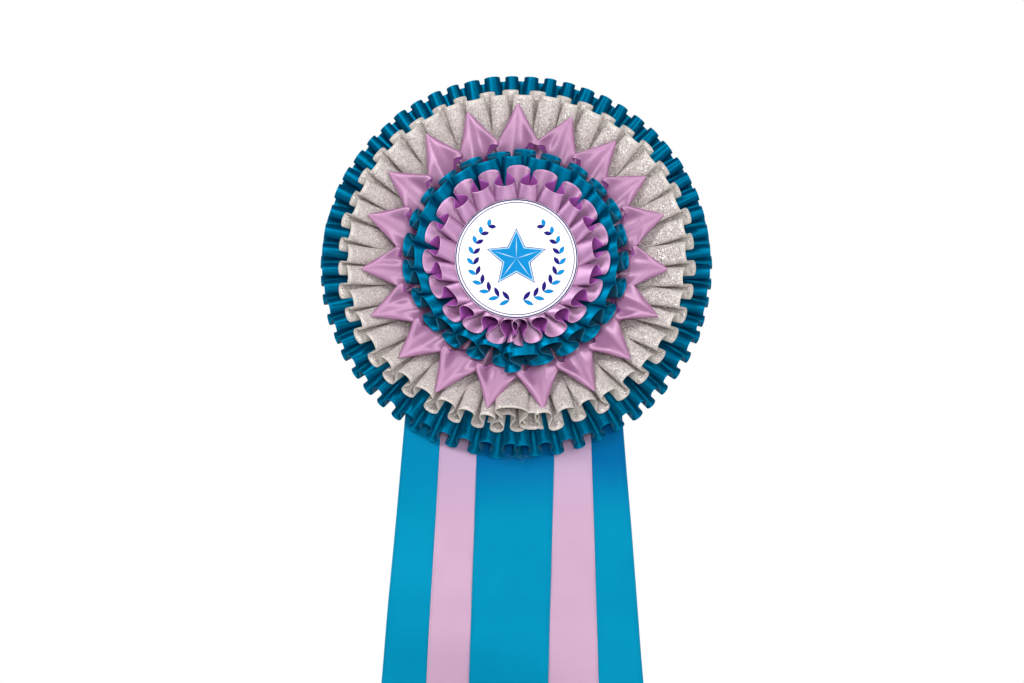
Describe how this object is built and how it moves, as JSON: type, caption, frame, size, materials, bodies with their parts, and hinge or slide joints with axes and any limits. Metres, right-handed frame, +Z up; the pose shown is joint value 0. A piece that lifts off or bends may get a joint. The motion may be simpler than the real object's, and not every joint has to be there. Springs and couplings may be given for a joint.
{
  "type": "award rosette ribbon",
  "caption": "Round tiered award rosette of box-pleated ribbon with a plain printed centre disc, five hanging ribbon tails and a safety-bar pin on its back.",
  "frame": {"origin": "centre of the back card's rear face", "axes": "+Z up, -Y towards the viewer of the rosette's front, +Y out of the rear face, +X to the right as seen from the front"},
  "size_m": [0.2454, 0.05, 0.5527],
  "materials": {
    "teal_satin": "glossy satin ribbon",
    "lilac_satin": "glossy satin ribbon",
    "silver_glitter": "glitter face, plain back",
    "white_print": "laminated white print",
    "white_board": "white card",
    "grey_board": "grey pulp card",
    "white_foam": "white foam sheet",
    "bright_steel": "plated steel",
    "teal_thread": "sewing thread",
    "lilac_thread": "sewing thread",
    "grey_thread": "sewing thread"
  },
  "bodies": {
    "rosette": {"back_card": "grey_board", "base_card": "grey_board", "middle_pad": "white_foam", "upper_pad": "white_foam", "centre_card": "grey_board", "centre_pad": "white_foam", "centre_board": "white_board", "centre_print": "white_print", "outer_teal_ruffle": "teal_satin", "silver_ruffle": "silver_glitter", "lilac_points_ribbon": "lilac_satin", "inner_teal_ruffle": "teal_satin", "inner_lilac_ruffle": "lilac_satin", "outer_teal_thread": "teal_thread", "silver_thread": "grey_thread", "points_thread": "lilac_thread", "inner_teal_thread": "teal_thread", "inner_lilac_thread": "lilac_thread", "tail_left_teal_root": "teal_satin", "tail_left_lilac_root": "lilac_satin", "tail_centre_teal_root": "teal_satin", "tail_right_lilac_root": "lilac_satin", "tail_right_teal_root": "teal_satin", "staple_far_left": "bright_steel", "staple_left": "bright_steel", "staple_centre": "bright_steel", "staple_right": "bright_steel", "staple_far_right": "bright_steel", "pin_bar": "bright_steel", "pin_rivet": "bright_steel"},
    "centre_teal_tail": {"tail_centre_teal_lower": "teal_satin"},
    "left_lilac_tail": {"tail_left_lilac_lower": "lilac_satin"},
    "right_lilac_tail": {"tail_right_lilac_lower": "lilac_satin"},
    "left_teal_tail": {"tail_left_teal_lower": "teal_satin"},
    "right_teal_tail": {"tail_right_teal_lower": "teal_satin"},
    "pin": {"pin_arm": "bright_steel"},
    "catch": {"safety_catch": "bright_steel"}
  },
  "joints": [
    {"name": "tails_swing", "type": "hinge", "parent": "rosette", "child": "centre_teal_tail", "pos_m": [0.00261, -0.0032, -0.131], "axis": [-1, 0, 0], "range_deg": [-40, 80]},
    {"name": "left_lilac_swing", "type": "hinge", "parent": "rosette", "child": "left_lilac_tail", "pos_m": [-0.02929, -0.0032, -0.131], "axis": [-1, 0, 0], "range_deg": [-40, 80]},
    {"name": "right_lilac_swing", "type": "hinge", "parent": "rosette", "child": "right_lilac_tail", "pos_m": [0.02769, -0.0032, -0.131], "axis": [-1, 0, 0], "range_deg": [-40, 80]},
    {"name": "left_teal_swing", "type": "hinge", "parent": "rosette", "child": "left_teal_tail", "pos_m": [-0.0479, -0.0032, -0.131], "axis": [-1, 0, 0], "range_deg": [-40, 80]},
    {"name": "right_teal_swing", "type": "hinge", "parent": "rosette", "child": "right_teal_tail", "pos_m": [0.04417, -0.0032, -0.131], "axis": [-1, 0, 0], "range_deg": [-40, 80]},
    {"name": "pin_open", "type": "hinge", "parent": "rosette", "child": "pin", "pos_m": [-0.017, 0.0032, 0.045], "axis": [0, 0, 1], "range_deg": [0, 100]},
    {"name": "catch_turn", "type": "hinge", "parent": "rosette", "child": "catch", "pos_m": [0.017, 0.0046, 0.045], "axis": [1, 0, 0], "range_deg": [0, 100]}
  ],
  "couplings": [
    {"joint": "left_lilac_swing", "follows": "tails_swing", "ratio": 1},
    {"joint": "right_lilac_swing", "follows": "tails_swing", "ratio": 1},
    {"joint": "left_teal_swing", "follows": "tails_swing", "ratio": 1},
    {"joint": "right_teal_swing", "follows": "tails_swing", "ratio": 1}
  ]
}
